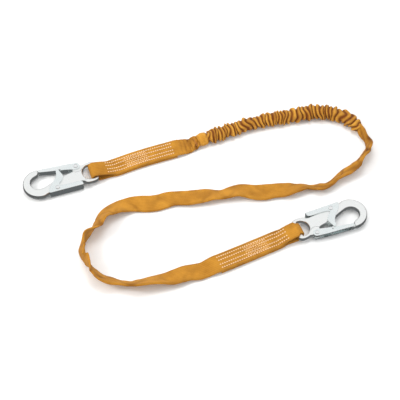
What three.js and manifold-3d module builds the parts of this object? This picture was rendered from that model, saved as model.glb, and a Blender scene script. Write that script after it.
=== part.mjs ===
// Shock absorbing lanyard: tubular webbing with a gathered absorber section and a
// double-locking snap hook sewn on at each end. Millimetres, +Z up.
// The lanyard lies on the plane z = 0; the origin is under the middle of its bounding box.
import * as THREE from 'three';
import { mergeVertices } from 'three/addons/utils/BufferGeometryUtils.js';
import Module from 'manifold-3d';

const wasm = await Module();
wasm.setup();

// ---------------------------------------------------------------- driving dimensions
const ORIGIN_SHIFT = [1.42, -4.45];         // moves the layout so that the origin is under its middle
const STRAP_WIDTH = 35;              // flat width of the tubular webbing
const STRAP_THICK = 4.2;             // both walls of the flattened tube
const LOOP_THICK = 2.8;              // the webbing drawn tight where it wraps the eye bar
const LOOP_HALF_WIDTH = 15.1;        // half width inside the eye
const LOOP_MID_RADIUS = 7.6;         // middle of the webbing wrapped on the eye bar
const HOOK_Z = 9.3;                  // middle plane of both hooks above the surface
const BAR_OFFSET = -0.5;             // middle of the eye bar, along the hook
const TAIL_LENGTH = 152;             // folded-back ply, from the eye bar
const GATHER_START = 199;            // gathered absorber section, distance along the route
const GATHER_END = 512;
const JACKET_A = 13.0, JACKET_B = 10.0;   // half width and half height of the gathered jacket
const BORE_A = 10.5, BORE_B = 3.4;        // passage for the absorbing core
const CORE_A = 9.6, CORE_B = 2.5;         // half width and half thickness of the core
const GAP = 0.3;

const HOOK_HALF = 5.5;               // half thickness of the forged hook body
const EYE_HALF = 4.4;                // half thickness round the eye
const LUG_HALF = 3.7;                // half thickness of the gate lug and of the nose tongue
const GATE_INNER = 4.0, GATE_PLATE = 1.4; // gate channel: half inner width, sheet thickness
const LEVER_INNER = 5.9, LEVER_PLATE = 1.5;
const GATE_PIVOT = [29, 18.5];
const LOCK_PIVOT = [71, -17.5];
const LOCK_PIN = [58, 20.4];

const HARNESS_BAR = [-187.2, 54.6], HARNESS_ANGLE = 198.1;   // eye bar and direction of each hook
const ANCHOR_BAR = [167.6, -71.6], ANCHOR_ANGLE = 22.2;

// Route of the webbing: x, y, roll in degrees, width. Equal steps along the route.
const ROUTE_STEP = 17.942;
const ROUTE = [
  [-187.2, 54.6, 0, 35], [-170.4, 59.7, 0, 35], [-153.8, 66.2, 0, 35], [-137.1, 73.6, 0, 35],
  [-120.4, 81.1, 0, 35], [-103.7, 87.9, 0, 34.9], [-87, 94.1, 0, 35], [-70.2, 100, 0, 35],
  [-53.5, 105.8, 0, 35], [-36.7, 111.7, 0, 34.9], [-20, 117.7, 0, 33], [-3.2, 123.9, 3, 28.1],
  [13.5, 130.4, 3, 20.8], [30.3, 137.2, 2, 20], [47, 144.3, 2, 21.2], [63.8, 151.3, 1, 20.6],
  [80.6, 157.9, 0, 19.2], [97.5, 163.9, -1, 20.2], [114.5, 168.8, -2, 20.1], [131.6, 172.7, -2, 18.9],
  [148.9, 176.2, -3, 18], [166.3, 180.2, -2, 19.4], [184, 184.7, -2, 21.7], [201.9, 188.2, -1, 24.5],
  [220, 189, 1, 23.7], [237.7, 186.8, 6, 22.1], [254.5, 181.1, 13, 20.9], [269.6, 171.9, 20, 19.6],
  [282.6, 159.6, 27, 18], [292.7, 144.4, 45, 19.6], [299.1, 127.3, 56, 29.6], [300.5, 109.7, 71, 34.7],
  [295.9, 92.8, 70, 35], [286.5, 77.4, 48, 35], [274.1, 64.2, 40, 35], [260.4, 53, 41, 35],
  [245.8, 42.4, 45, 34.7], [230.3, 32.2, 37, 35], [214.1, 24.6, 36, 35], [197.2, 21.3, 33, 34.9],
  [179.9, 20.4, 28, 35], [162.2, 19.4, 18, 35], [144.2, 18.4, 8, 35], [126.1, 17.1, 5, 34.8],
  [107.9, 15.8, 3, 35], [89.8, 14.2, 7, 35], [71.8, 12.6, 16, 35], [53.9, 10.7, 23, 35],
  [36.1, 8.8, 21, 35], [18.3, 6.7, 19, 35], [0.6, 4.5, 14, 34.8], [-17.1, 2.2, 8, 34.5],
  [-34.8, -0.2, 4, 34.3], [-52.5, -2.6, 1, 34.5], [-70.2, -5.1, -1, 34.8], [-87.9, -7.7, 0, 34.8],
  [-105.6, -10.3, 3, 35], [-123.1, -13.9, 8, 35], [-139.7, -19.9, 17, 35], [-154.8, -29.8, 29, 35],
  [-167.9, -42.8, 43, 35], [-178.4, -57.6, 59, 35], [-186.3, -73, 76, 35], [-194.5, -88.9, 89, 35],
  [-200.1, -105.6, 74, 34.5], [-198.3, -122.7, 81, 35], [-191, -139.2, 96, 35], [-180.2, -153.8, 122, 35],
  [-166.6, -166, 132, 35], [-151, -174.8, 142, 35], [-134, -179.3, 138, 35], [-116.3, -178.8, 133, 34.8],
  [-98.5, -176, 137, 35], [-80.8, -172.7, 143, 35], [-63.2, -168.8, 152, 35], [-45.8, -164.3, 163, 35],
  [-28.6, -159.2, 170, 35], [-11.7, -153.4, 176, 34.9], [5, -147.1, 180, 34.8], [21.6, -140.3, 180, 34.8],
  [38, -133.1, 180, 35], [54.2, -125.5, 180, 35], [70.4, -117.7, 180, 34.9], [86.5, -109.8, 180, 35],
  [102.6, -101.8, 180, 35], [118.7, -93.9, 180, 34.5], [134.8, -86.1, 180, 34.5], [151.1, -78.5, 180, 35],
  [167.6, -71.6, 180, 35],
];

// ---------------------------------------------------------------- colours
const steel = (r = 0.32) => new THREE.MeshStandardMaterial({ color: 0xd9dcdc, roughness: r, metalness: 1 });
const forged = () => new THREE.MeshStandardMaterial({ color: 0xe2e4e2, roughness: 0.38, metalness: 1 });
const webbing = () => new THREE.MeshStandardMaterial({ color: 0xc68a32, roughness: 0.85, metalness: 0 });
const jacket = () => new THREE.MeshStandardMaterial({ color: 0xbe8330, roughness: 0.88, metalness: 0 });
const thread = () => new THREE.MeshStandardMaterial({ color: 0xf0c898, roughness: 0.8, metalness: 0 });
const coreMat = () => new THREE.MeshStandardMaterial({ color: 0xe9e4d6, roughness: 0.8, metalness: 0 });

// ---------------------------------------------------------------- helpers
const group = new THREE.Group();
group.position.set(ORIGIN_SHIFT[0], ORIGIN_SHIFT[1], 0);

function bare(geometry) {
  const g = geometry.index ? geometry.toNonIndexed() : geometry.clone();
  for (const name of Object.keys(g.attributes)) if (name !== 'position') g.deleteAttribute(name);
  return mergeVertices(g, 1e-4);
}
function solid(geometry) {
  const g = bare(geometry);
  return new wasm.Manifold(new wasm.Mesh({
    numProp: 3,
    vertProperties: new Float32Array(g.attributes.position.array),
    triVerts: new Uint32Array(g.index.array),
  }));
}
function geometryOf(manifold) {
  const m = manifold.getMesh();
  const g = new THREE.BufferGeometry();
  g.setAttribute('position', new THREE.BufferAttribute(new Float32Array(m.vertProperties), 3));
  g.setIndex(new THREE.BufferAttribute(new Uint32Array(m.triVerts), 1));
  return g;
}
function add(name, geometry, material, parent = group) {
  const mesh = new THREE.Mesh(geometry, material);
  mesh.name = name;
  parent.add(mesh);
  return mesh;
}
function shapeOf(points) {
  return new THREE.Shape(points.map(([x, y]) => new THREE.Vector2(x, y)));
}
function circlePath([x, y], r, n = 16) {
  const p = [];
  for (let i = 0; i < n; i++) p.push(new THREE.Vector2(x + r * Math.cos(2 * Math.PI * i / n), y + r * Math.sin(2 * Math.PI * i / n)));
  return new THREE.Path(p);
}
// A flat plate between two heights.
function plate(shape, z0, z1) {
  return new THREE.ExtrudeGeometry(shape, { depth: z1 - z0, bevelEnabled: false, steps: 1 }).translate(0, 0, z0);
}
function disc([x, y], r, z0, z1, n = 20) {
  return new THREE.CylinderGeometry(r, r, z1 - z0, n).rotateX(Math.PI / 2).translate(x, y, (z0 + z1) / 2);
}
function box(x0, y0, z0, x1, y1, z1) {
  return new THREE.BoxGeometry(x1 - x0, y1 - y0, z1 - z0).translate((x0 + x1) / 2, (y0 + y1) / 2, (z0 + z1) / 2);
}
// Points of a smooth closed or open curve through the given points.
function smooth(points, per, closed = false) {
  const c = new THREE.CatmullRomCurve3(points.map(([x, y]) => new THREE.Vector3(x, y, 0)), closed, 'centripetal');
  return c.getPoints(per).map((v) => [v.x, v.y]);
}
function arc(cx, cy, r, a0, a1, n) {
  const p = [];
  for (let i = 0; i <= n; i++) {
    const a = (a0 + (a1 - a0) * i / n) * Math.PI / 180;
    p.push([cx + r * Math.cos(a), cy + r * Math.sin(a)]);
  }
  return p;
}

// ---------------------------------------------------------------- webbing route
function cubic(p0, p1, p2, p3, f) {
  return p1 + 0.5 * f * (p2 - p0 + f * (2 * p0 - 5 * p1 + 4 * p2 - p3 + f * (3 * (p1 - p2) + p3 - p0)));
}
function route(s) {
  const last = ROUTE.length - 1;
  const t = Math.min(Math.max(s / ROUTE_STEP, 0), last);
  const i = Math.min(Math.floor(t), last - 1), f = t - i;
  const at = (k) => ROUTE[Math.min(Math.max(k, 0), last)];
  return [0, 1, 2, 3].map((c) => cubic(at(i - 1)[c], at(i)[c], at(i + 1)[c], at(i + 2)[c], f));
}
const ROUTE_LENGTH = ROUTE_STEP * (ROUTE.length - 1);
const ease = (t) => { const u = Math.min(Math.max(t, 0), 1); return u * u * (3 - 2 * u); };
function pick(table, x) {
  if (x <= table[0][0]) return table[0][1];
  for (let i = 1; i < table.length; i++) if (x <= table[i][0]) {
    const [x0, y0] = table[i - 1], [x1, y1] = table[i];
    return y0 + (y1 - y0) * ease((x - x0) / (x1 - x0));
  }
  return table[table.length - 1][1];
}
// Height of the middle of the upper ply, by distance from the eye bar, and its half thickness.
const UPPER = [[0.5, HOOK_Z + LOOP_MID_RADIUS], [42, 6.6], [TAIL_LENGTH + 2, 6.6], [TAIL_LENGTH + 26, 2.1]];
const HALF_T = [[2, LOOP_THICK / 2], [30, STRAP_THICK / 2]];

// One cross-section of the webbing at a distance along the route.
function station(s, lower = false) {
  const e = 0.5;
  const [x, y, roll, w] = route(s);
  const [xa, ya] = route(s - e), [xb, yb] = route(s + e);
  const t = new THREE.Vector3(xb - xa, yb - ya, 0).normalize();
  const n = new THREE.Vector3(-t.y, t.x, 0);
  const phi = roll * Math.PI / 180;
  const d = Math.min(s, ROUTE_LENGTH - s);
  const b = pick(HALF_T, d);
  let z = (w / 2) * Math.abs(Math.sin(phi)) + b * Math.abs(Math.cos(phi));
  if (d < TAIL_LENGTH + 26) z = lower ? Math.max(b, pick([[0.5, HOOK_Z - LOOP_MID_RADIUS], [24, b]], d)) : pick(UPPER, d);
  const A = n.clone().multiplyScalar(Math.cos(phi)); A.z += Math.sin(phi);
  const a = d < 60 ? pick([[24, LOOP_HALF_WIDTH], [40, STRAP_WIDTH / 2]], d) : Math.min(w, STRAP_WIDTH) / 2;
  return { c: new THREE.Vector3(x, y, z), A, a, b };
}
// The webbing wrapped on an eye bar, from the lower ply to the upper one.
function wrap([bx, by], angle) {
  const h = angle * Math.PI / 180;
  const u = new THREE.Vector3(Math.cos(h), Math.sin(h), 0);
  const n = new THREE.Vector3(u.y, -u.x, 0);
  const list = [];
  for (let a = -90; a <= 90; a += 15) {
    const r = a * Math.PI / 180;
    const c = new THREE.Vector3(bx, by, HOOK_Z).addScaledVector(u, BAR_OFFSET + LOOP_MID_RADIUS * Math.cos(r));
    c.z += LOOP_MID_RADIUS * Math.sin(r);
    list.push({ c, A: n.clone(), a: LOOP_HALF_WIDTH, b: LOOP_THICK / 2 });
  }
  return list;
}
// Bends a straight extrusion so that it follows a list of cross-sections.
function follow(shape, stations, sized) {
  const n = stations.length - 1;
  const g = new THREE.ExtrudeGeometry(shape, { depth: n, steps: n, bevelEnabled: false });
  const frames = stations.map((q, i) => {
    const p = stations[Math.max(i - 1, 0)].c, r = stations[Math.min(i + 1, n)].c;
    const T = r.clone().sub(p).normalize();
    const A = q.A.clone().addScaledVector(T, -q.A.dot(T)).normalize();
    const B = T.clone().cross(A).normalize();
    return { c: q.c, A, B, a: q.a, b: q.b };
  });
  const pos = g.attributes.position;
  for (let i = 0; i < pos.count; i++) {
    const k = Math.min(Math.max(Math.round(pos.getZ(i)), 0), n), f = frames[k];
    const x = pos.getX(i) * (sized ? f.a : 1), y = pos.getY(i) * (sized ? f.b : 1);
    const v = f.c.clone().addScaledVector(f.A, x).addScaledVector(f.B, y);
    pos.setXYZ(i, v.x, v.y, v.z);
  }
  return bare(g);
}
const strapSection = shapeOf([[1, -0.35], [1, 0.35], [0.93, 1], [-0.93, 1], [-1, 0.35], [-1, -0.35], [-0.93, -1], [0.93, -1]]);
function stations(s0, s1, step, lower = false) {
  const n = Math.max(1, Math.round(Math.abs(s1 - s0) / step)), list = [];
  for (let i = 0; i <= n; i++) list.push(station(s0 + (s1 - s0) * i / n, lower));
  return list;
}
const L = ROUTE_LENGTH;
const flip = (list) => list.map((q) => ({ ...q, A: q.A.clone() }));

// harness end: tail, loop through the eye, strap as far as the absorber
add('harness_webbing', follow(strapSection, [
  ...flip(stations(TAIL_LENGTH, 4, 16, true)),
  ...wrap(HARNESS_BAR, HARNESS_ANGLE),
  ...stations(6, 36, 6), ...stations(48, TAIL_LENGTH, 16), ...stations(160, GATHER_START - 0.8, 10),
], true), webbing());

// anchor end: strap from the absorber, loop through the eye, tail
add('anchor_webbing', follow(strapSection, [
  ...stations(GATHER_END + 1.5, L - 180, 17.4), ...stations(L - 170, L - TAIL_LENGTH, 9), ...stations(L - 136, L - 48, 18), ...stations(L - 36, L - 6, 6),
  ...wrap(ANCHOR_BAR, ANCHOR_ANGLE).reverse(),
  ...stations(L - 4, L - TAIL_LENGTH, 16, true),
], true), webbing());

// gathered jacket: a tube open at both ends, ruffled in rings
function ellipse(a, b, n, hole = false) {
  const p = [];
  for (let i = 0; i < n; i++) {
    const t = 2 * Math.PI * (i + 0.5) / n;
    p.push(new THREE.Vector2(a * Math.cos(t), b * Math.sin(t)));
  }
  return hole ? new THREE.Path(p.reverse()) : new THREE.Shape(p);
}
{
  const n = 42, list = [];
  for (let i = 0; i <= n; i++) {
    const q = station(GATHER_START + (GATHER_END - GATHER_START) * i / n);
    q.c.z = JACKET_B + 0.1;
    q.A = new THREE.Vector3(q.A.x, q.A.y, 0).normalize();
    list.push(q);
  }
  const section = ellipse(JACKET_A, JACKET_B, 14);
  section.holes.push(new THREE.Path([[BORE_A, 2], [BORE_A, -2], [BORE_A - 0.9, -BORE_B], [-BORE_A + 0.9, -BORE_B], [-BORE_A, -2], [-BORE_A, 2], [-BORE_A + 0.9, BORE_B], [BORE_A - 0.9, BORE_B]].map(([x, y]) => new THREE.Vector2(x, y))));
  const steps = list.length - 1;
  const g = new THREE.ExtrudeGeometry(section, { depth: steps, steps, bevelEnabled: false });
  const pos = g.attributes.position;
  const frames = list.map((q, i) => {
    const p = list[Math.max(i - 1, 0)].c, r = list[Math.min(i + 1, steps)].c;
    const T = r.clone().sub(p).normalize();
    const B = new THREE.Vector3(0, 0, 1);
    return { c: q.c, A: B.clone().cross(T).normalize(), B };
  });
  for (let i = 0; i < pos.count; i++) {
    const k = Math.min(Math.max(Math.round(pos.getZ(i)), 0), steps), f = frames[k];
    let x = pos.getX(i), y = pos.getY(i);
    if (Math.abs(x) > BORE_A + 0.01 || Math.abs(y) > BORE_B + 0.01 || Math.hypot(x / JACKET_A, y / JACKET_B) > 0.99) {
      const end = k === 0 || k === steps ? 0.92 : 1;
      const ring = (k % 2 ? 0.92 : 1) * end;
      x *= ring; y *= ring;
    }
    const v = f.c.clone().addScaledVector(f.A, x).addScaledVector(f.B, y);
    pos.setXYZ(i, v.x, v.y, v.z);
  }
  add('gathered_jacket', bare(g), jacket());

  const inner = list.slice(1, -1).filter((_, i) => i % 2 === 0).map((q) => ({ c: q.c, A: new THREE.Vector3(0, 0, 0), q }));
  const m = inner.length - 1;
  const cg = new THREE.ExtrudeGeometry(shapeOf([[CORE_A, -CORE_B * 0.5], [CORE_A, CORE_B * 0.5], [CORE_A * 0.9, CORE_B], [-CORE_A * 0.9, CORE_B], [-CORE_A, CORE_B * 0.5], [-CORE_A, -CORE_B * 0.5], [-CORE_A * 0.9, -CORE_B], [CORE_A * 0.9, -CORE_B]]), { depth: m, steps: m, bevelEnabled: false });
  const cp = cg.attributes.position;
  const cf = inner.map((q, i) => {
    const p = inner[Math.max(i - 1, 0)].c, r = inner[Math.min(i + 1, m)].c;
    const T = r.clone().sub(p).normalize();
    const B = new THREE.Vector3(0, 0, 1);
    return { c: q.c, A: B.clone().cross(T).normalize(), B };
  });
  for (let i = 0; i < cp.count; i++) {
    const f = cf[Math.min(Math.max(Math.round(cp.getZ(i)), 0), m)];
    const v = f.c.clone().addScaledVector(f.A, cp.getX(i)).addScaledVector(f.B, cp.getY(i));
    cp.setXYZ(i, v.x, v.y, v.z);
  }
  add('absorber_core', bare(cg), coreMat());
}

// ---------------------------------------------------------------- stitching
// A thread pattern drawn in (distance from the eye bar, offset across), laid on the upper ply.
function stitches(name, points, fromEnd) {
  const g = new THREE.ExtrudeGeometry(shapeOf(points), { depth: 0.5, bevelEnabled: false });
  const pos = g.attributes.position;
  for (let i = 0; i < pos.count; i++) {
    const d = pos.getX(i), off = pos.getY(i), up = pos.getZ(i);
    const s = fromEnd ? L - d : d;
    const q = station(s);
    const c1 = station(s + 1).c, c0 = station(s - 1).c;
    const T = c1.sub(c0).normalize();
    const A = new THREE.Vector3(-T.y, T.x, 0).normalize();
    const B = T.clone().cross(A);
    const v = q.c.clone().addScaledVector(A, off).addScaledVector(B, q.b + GAP + up);
    pos.setXYZ(i, v.x, v.y, v.z);
  }
  const out = bare(g);
  // keep the faces pointing out when the pattern is laid in the other direction
  if (fromEnd) {
    const ix = out.index.array;
    for (let i = 0; i < ix.length; i += 3) { const t = ix[i]; ix[i] = ix[i + 1]; ix[i + 1] = t; }
  }
  add(name, out, thread());
}
// One seam: a flat thread band swept along the upper ply at an offset from its middle.
function seam(name, d0, d1, off, fromEnd, half = 0.8, step = 11) {
  const n = Math.round((d1 - d0) / step), list = [];
  for (let i = 0; i <= n; i++) {
    const d = d0 + (d1 - d0) * i / n, s = fromEnd ? L - d : d;
    const T = station(s + 1).c.sub(station(s - 1).c).setZ(0).normalize(), q = station(s);
    const A = new THREE.Vector3(-T.y, T.x, 0);
    const c = q.c.clone().addScaledVector(A, off);
    c.z = q.c.z + q.b + GAP + 0.25;
    list.push({ c, A, a: 1, b: 1 });
  }
  add(name, follow(shapeOf([[half, -0.25], [half, 0.25], [-half, 0.25], [-half, -0.25]]), list, false), thread());
}
function zigzag(d0, d1, amp, pitch, half = 0.7) {
  const n = Math.round((d1 - d0) / pitch), up = [], down = [];
  for (let i = 0; i <= n; i++) {
    const d = d0 + (d1 - d0) * i / n, o = i % 2 ? amp : -amp;
    down.push([d, o - half]); up.unshift([d, o + half]);
  }
  return [...down, ...up];
}
for (const [end, from, d1] of [['harness', false, 148], ['anchor', true, 148]]) {
  [-11, -4.2, 4.2, 11].forEach((off, i) => seam(`${end}_stitch_row_${i + 1}`, 46, d1, off, from));
  stitches(`${end}_stitch_zigzag`, zigzag(58, 98, 2.0, 3.6), from);
}
// tacks that sew the core to the jacket at both ends of the absorber
function tack(name, s, half, lift) {
  const q = station(s), T = station(s + 1).c.sub(station(s - 1).c).normalize();
  const A = q.A.clone().addScaledVector(T, -q.A.dot(T)).normalize(), B = T.clone().cross(A);
  const g = new THREE.BoxGeometry(2 * half, 0.7, 2.6);
  const pos = g.attributes.position;
  for (let i = 0; i < pos.count; i++) {
    const v = q.c.clone().addScaledVector(A, pos.getX(i)).addScaledVector(B, q.b + lift + 0.35 + pos.getY(i)).addScaledVector(T, pos.getZ(i));
    pos.setXYZ(i, v.x, v.y, v.z);
  }
  add(name, bare(g), thread());
}
tack('absorber_tack_harness', 192, 11, GAP);
tack('absorber_tack_anchor', 531, 8, 1.4);

// ---------------------------------------------------------------- snap hook
// Hook axes: x from the eye bar to the bend, y to the gate side, z through the thickness.
const bodyOutline = [
  ...arc(99.5, 3, 29, 92, -86, 22),
  [95.5, -25.6], [91.5, -23.4], [86, -22.6], [76, -22.2], [60, -20], [44, -17.9], [27, -15.6], [23.5, -16.6], [19, -20],
  [13, -21.4], [5, -21.2], [-0.5, -19.8], [-4, -16.6], [-5, -12], [-5, 0], [-5, 12], [-4, 16.6], [-0.5, 19.8], [5, 21], [11, 20.4], [16.5, 18.6],
  ...arc(29, 18.5, 6.6, 172, 10, 10),
  [36.2, 15.5], [36.8, 12.3], [37.6, 9.4], [42, 8.0], [48, 6.6], [54, 5.2], [60, 3.6], [66, 1.8], [73, -0.8], [81, -4], [89, -7.2], [96, -9.4], [102, -9.6],
  [107.5, -7.6], [111.8, -3.6], [114.4, 2], [114.4, 8], [112, 13.6], [107.5, 17.6], [102, 19.8], [98, 21.4], [96.4, 24], [95.8, 26.6],
  [90, 26.8], [88.8, 28.4], [89.2, 30.2], [92, 31],
];
const eyeHole = [[4, -15.7], [9, -15.7], [12.5, -14.9], [16, -12.6], [19, -9], [21, -4.6], [21.6, 0], [21, 4.6], [19, 9], [16, 12.6], [12.5, 14.9], [9, 15.7], [4, 15.7], [4, 0]];

function makeHook(prefix, [bx, by], angle) {
  const hook = new THREE.Group();
  const q = new THREE.Quaternion().setFromAxisAngle(new THREE.Vector3(0, 0, 1), angle * Math.PI / 180);
  q.multiply(new THREE.Quaternion().setFromAxisAngle(new THREE.Vector3(1, 0, 0), Math.PI));
  hook.quaternion.copy(q);
  hook.position.set(bx, by, HOOK_Z);
  group.add(hook);

  // forged body: rounded section, thinner at the eye, the gate lug and the nose tongue
  const outline = shapeOf(bodyOutline.slice().reverse());
  outline.holes.push(new THREE.Path(eyeHole.map(([x, y]) => new THREE.Vector2(x, y))));
  let body = solid(new THREE.ExtrudeGeometry(outline, {
    depth: 2 * HOOK_HALF - 6, bevelEnabled: true, bevelThickness: 3, bevelSize: 1.7, bevelOffset: -1.7, bevelSegments: 3,
  }).translate(0, 0, -HOOK_HALF + 3));
  for (const z of [1, -1]) {
    const slab = (x0, y0, x1, y1, h) => solid(box(x0, y0, z > 0 ? h : -20, x1, y1, z > 0 ? 20 : -h));
    body = body.subtract(slab(-10, -30, 19.5, 30, EYE_HALF));
    body = body.subtract(solid(disc(GATE_PIVOT, 12.6, z > 0 ? LUG_HALF : -20, z > 0 ? 20 : -LUG_HALF, 28)));
    body = body.subtract(slab(80, 24.6, 96.2, 40, LUG_HALF - 0.3));
  }
  body = body.subtract(solid(disc(GATE_PIVOT, 2.4, -20, 20, 16)));
  body = body.subtract(solid(disc(LOCK_PIVOT, 2.6, -20, 20, 16)));
  body = body.subtract(solid(disc(GATE_PIVOT, 5.4, -1.9, 1.9, 20))).subtract(solid(box(24, 18.5, -1.9, 34, 30, 1.9)));
  body = body.subtract(solid(disc(LOCK_PIVOT, 5.0, -1.9, 1.9, 20))).subtract(solid(box(63.5, -26, -1.9, 76, -17.5, 1.9)));
  add(`${prefix}_hook_body`, geometryOf(body), forged(), hook);

  // gate: folded sheet channel, closed side to the inside of the hook
  const gatePlate = shapeOf([
    ...arc(29, 18.5, 7.4, 120, 235, 6), [33, 12], [37, 13.4], [46, 15.8], [62, 19], [80, 22.4], [94, 25.1], [95.5, 26.4], [95.3, 29.4], [94, 30.6],
    [80, 29.7], [62, 28.5], [44, 27.3],
  ]);
  gatePlate.holes.push(circlePath(GATE_PIVOT, 2.4), circlePath(LOCK_PIN, 2.05, 12));
  let gate = solid(plate(gatePlate, GATE_INNER, GATE_INNER + GATE_PLATE)).add(solid(plate(gatePlate, -GATE_INNER - GATE_PLATE, -GATE_INNER)));
  const gateWeb = shapeOf([[44, 15.3], [62, 19], [80, 22.4], [94, 25.1], [94, 26.3], [80, 23.9], [62, 20.5], [44, 16.8]]);
  // the web stops short of the pin, whose ends stand out of the plates
  gate = gate.add(solid(plate(gateWeb, -GATE_INNER - GATE_PLATE, GATE_INNER + GATE_PLATE)));
  gate = gate.subtract(solid(disc(LOCK_PIN, 2.05, -20, 20, 12)));
  add(`${prefix}_gate`, geometryOf(gate), steel(0.28), hook);

  // rivets, with low domed heads
  const rivet = (r, head, zHead, zTop) => {
    const p = [[0, -zTop], [head * 0.6, -zTop + 0.15], [head * 0.92, -zTop + 0.6], [head, -zHead], [r, -zHead], [r, zHead], [head, zHead], [head * 0.92, zTop - 0.6], [head * 0.6, zTop - 0.15], [0, zTop]];
    return new THREE.LatheGeometry(p.map(([x, y]) => new THREE.Vector2(x, y)), 16).rotateX(Math.PI / 2);
  };
  add(`${prefix}_gate_rivet`, bare(rivet(2.0, 3.8, GATE_INNER + GATE_PLATE + 0.3, 7.0).translate(...GATE_PIVOT, 0)), steel(0.25), hook);
  add(`${prefix}_lock_rivet`, bare(rivet(2.2, 4.0, LEVER_INNER + LEVER_PLATE + 0.3, 9.0).translate(...LOCK_PIVOT, 0)), steel(0.25), hook);
  add(`${prefix}_gate_lock_pin`, bare(disc(LOCK_PIN, 1.7, -7.4, 7.4, 12)), steel(0.3), hook);

  // torsion springs on the rivets, in their slots
  const spring = ([cx, cy], r, a0, turns, legA, legB) => {
    const pts = [], n = Math.round(turns * 12), pitch = 1.15;
    const h = (turns * pitch) / 2;
    const at = (a, z) => new THREE.Vector3(cx + r * Math.cos(a), cy + r * Math.sin(a), z);
    const s = at(a0, -h), e = at(a0 + turns * 2 * Math.PI, h);
    const ts = new THREE.Vector3(Math.sin(a0), -Math.cos(a0), 0), ae = a0 + turns * 2 * Math.PI;
    const te = new THREE.Vector3(-Math.sin(ae), Math.cos(ae), 0);
    for (let i = 3; i >= 1; i--) pts.push(s.clone().addScaledVector(ts, legA * i / 3));
    for (let i = 0; i <= n; i++) pts.push(at(a0 + turns * 2 * Math.PI * i / n, -h + 2 * h * i / n));
    for (let i = 1; i <= 3; i++) pts.push(e.clone().addScaledVector(te, legB * i / 3));
    const curve = new THREE.CatmullRomCurve3(pts, false, 'centripetal');
    const wire = ellipse(0.45, 0.45, 6);
    return bare(new THREE.ExtrudeGeometry(wire, { extrudePath: curve, steps: n + 10, bevelEnabled: false }));
  };
  add(`${prefix}_gate_spring`, spring(GATE_PIVOT, 3.5, 1.2, 1.75, 2, 2), steel(0.3), hook);
  add(`${prefix}_lock_spring`, spring(LOCK_PIVOT, 3.6, -1.9, 1.75, 2, 2), steel(0.3), hook);

  // lock lever: channel round the spine, its arms reach across to the pin on the gate
  const leverPlate = shapeOf([
    [26, -25], [86, -25], [88.6, -23.2], [87.6, -19], [83.5, -12], [78.6, -6.4], [73, -1], [69, 5], [66.4, 11], [65.6, 17.4], [64, 19.2], [60.6, 19.2], [60.1, 18.2],
    [55.9, 6], [55.9, 1.5], [59.6, -4.5], [65.6, -9.4], [67, -12.4], [63, -14.8], [52, -15.6], [34, -16.0], [28.4, -17.0], [26, -19.5],
  ]);
  leverPlate.holes.push(circlePath(LOCK_PIVOT, 2.6));
  let lever = solid(plate(leverPlate, LEVER_INNER, LEVER_INNER + LEVER_PLATE)).add(solid(plate(leverPlate, -LEVER_INNER - LEVER_PLATE, -LEVER_INNER)));
  const leverWeb = shapeOf([[26, -25], [86, -25], [86, -23.5], [26, -23.5]]);
  lever = lever.add(solid(plate(leverWeb, -LEVER_INNER - LEVER_PLATE, LEVER_INNER + LEVER_PLATE)));
  add(`${prefix}_lock_lever`, geometryOf(lever), steel(0.3), hook);
}
makeHook('harness', HARNESS_BAR, HARNESS_ANGLE);
makeHook('anchor', ANCHOR_BAR, ANCHOR_ANGLE);

export default group;
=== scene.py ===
import math

import bmesh
import bpy
import numpy as np
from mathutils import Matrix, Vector


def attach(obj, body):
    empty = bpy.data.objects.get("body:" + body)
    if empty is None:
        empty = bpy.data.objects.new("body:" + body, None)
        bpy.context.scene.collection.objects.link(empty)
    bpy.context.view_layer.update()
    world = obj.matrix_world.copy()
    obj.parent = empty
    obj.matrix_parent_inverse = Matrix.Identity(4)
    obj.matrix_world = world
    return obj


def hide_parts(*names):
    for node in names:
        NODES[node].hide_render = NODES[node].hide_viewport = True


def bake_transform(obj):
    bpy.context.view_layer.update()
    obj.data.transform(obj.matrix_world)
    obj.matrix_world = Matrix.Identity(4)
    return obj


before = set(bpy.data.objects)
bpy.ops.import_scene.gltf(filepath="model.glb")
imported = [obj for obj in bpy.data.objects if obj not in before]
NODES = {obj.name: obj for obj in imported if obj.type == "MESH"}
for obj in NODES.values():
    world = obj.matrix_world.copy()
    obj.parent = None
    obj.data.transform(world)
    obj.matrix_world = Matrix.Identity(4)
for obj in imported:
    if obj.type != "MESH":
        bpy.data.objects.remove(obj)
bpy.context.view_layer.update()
MM = 0.001

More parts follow.
